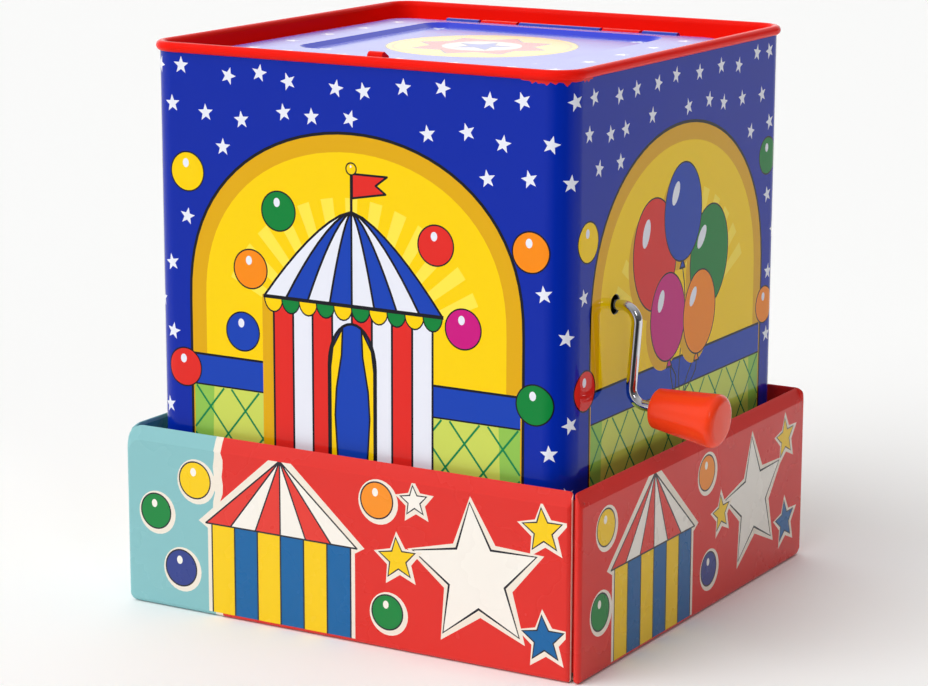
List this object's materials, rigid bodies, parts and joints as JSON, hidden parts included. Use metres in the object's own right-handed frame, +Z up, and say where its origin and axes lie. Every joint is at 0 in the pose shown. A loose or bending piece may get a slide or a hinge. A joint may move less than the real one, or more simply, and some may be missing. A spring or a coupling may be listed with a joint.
{
  "type": "jack in the box",
  "caption": "Square printed tin toy box in an open display carton: a side crank drives a music drum that trips a latch, the hinged lid opens and a sprung clown puppet rises.",
  "frame": {"origin": "middle of the display carton's underside", "axes": "+Z up, -Y towards the front of the box with the latch, +X towards the crank"},
  "size_m": [0.1824, 0.1508, 0.1707],
  "materials": {
    "carton_print": "printed folding carton with a satin varnish",
    "litho_blue": "printed tinplate under a gloss lacquer",
    "tinplate": "bright plain tinplate",
    "red_enamel": "gloss red enamel on tinplate",
    "lid_print": "printed tinplate under a gloss lacquer",
    "steel_wire": "nickel-plated steel wire",
    "spring_steel": "oiled spring steel",
    "red_plastic": "moulded gloss plastic",
    "white_plastic": "moulded plastic",
    "drum_plastic": "moulded plastic",
    "fibre_board": "pressed fibre board",
    "body_cloth": "printed cotton",
    "ruff_cloth": "pleated cotton",
    "sleeve_blue": "cotton",
    "hat_felt": "felt",
    "pompom_wool": "wool",
    "hair_wool": "wool",
    "skin_vinyl": "soft moulded vinyl, painted",
    "glove_white": "felt"
  },
  "bodies": {
    "carton": {"display_tray": "carton_print"},
    "tin": {"body_shell": "litho_blue", "bottom_plate": "tinplate", "top_frame": "red_enamel", "hinge_pin": "steel_wire", "latch_pin": "steel_wire", "latch_spring": "spring_steel", "movement_frame": "white_plastic", "movement_bracket": "tinplate", "bracket_rivets": "tinplate", "bracket_screws": "tinplate", "music_comb": "spring_steel", "comb_screws": "tinplate", "puppet_base": "fibre_board", "base_rivets": "tinplate", "pop_spring": "spring_steel", "cloth_body": "body_cloth"},
    "lid": {"lid_panel": "lid_print"},
    "latch": {"latch_lever": "red_enamel"},
    "crank": {"crank_rod": "steel_wire", "crank_pinion": "white_plastic", "crank_clip": "spring_steel"},
    "knob": {"crank_knob": "red_plastic"},
    "drum": {"music_drum": "drum_plastic", "drum_gear": "white_plastic", "drum_axle": "steel_wire", "trip_cam": "white_plastic"},
    "puppet": {"neck_cup": "white_plastic", "collar_ruff": "ruff_cloth", "puppet_head": "skin_vinyl", "puppet_nose": "red_plastic", "hair_tufts": "hair_wool", "puppet_hat": "hat_felt", "hat_pompom": "pompom_wool", "left_arm": "body_cloth", "right_arm": "sleeve_blue", "left_hand": "glove_white", "right_hand": "glove_white"}
  },
  "joints": [
    {"name": "toy_lift", "type": "slide", "parent": "carton", "child": "tin", "axis": [0, 0, 1], "range_m": [0, 0.06]},
    {"name": "lid_hinge", "type": "hinge", "parent": "tin", "child": "lid", "pos_m": [0, 0.053, 0.16615], "axis": [-1, 0, 0], "range_deg": [0, 110]},
    {"name": "puppet_rise", "type": "slide", "parent": "tin", "child": "puppet", "axis": [0, 0, 1], "range_m": [0, 0.136], "deforming": ["pop_spring", "cloth_body"]},
    {"name": "crank_turn", "type": "hinge", "parent": "tin", "child": "crank", "pos_m": [0.07, -0.0415, 0.1017], "axis": [1, 0, 0], "continuous": true},
    {"name": "knob_spin", "type": "hinge", "parent": "crank", "child": "knob", "pos_m": [0.09313, -0.0415, 0.07251], "axis": [0.9969, 0, -0.0785], "continuous": true},
    {"name": "drum_turn", "type": "hinge", "parent": "tin", "child": "drum", "pos_m": [0.045, -0.0385, 0.12551], "axis": [1, 0, 0], "continuous": true},
    {"name": "latch_swing", "type": "hinge", "parent": "tin", "child": "latch", "pos_m": [0.018, -0.05675, 0.1067], "axis": [1, 0, 0], "range_deg": [-2.2, 0]}
  ],
  "couplings": [
    {"joint": "puppet_rise", "follows": "lid_hinge", "m_per_rad": 0.07},
    {"joint": "drum_turn", "follows": "crank_turn", "ratio": -0.33333}
  ]
}
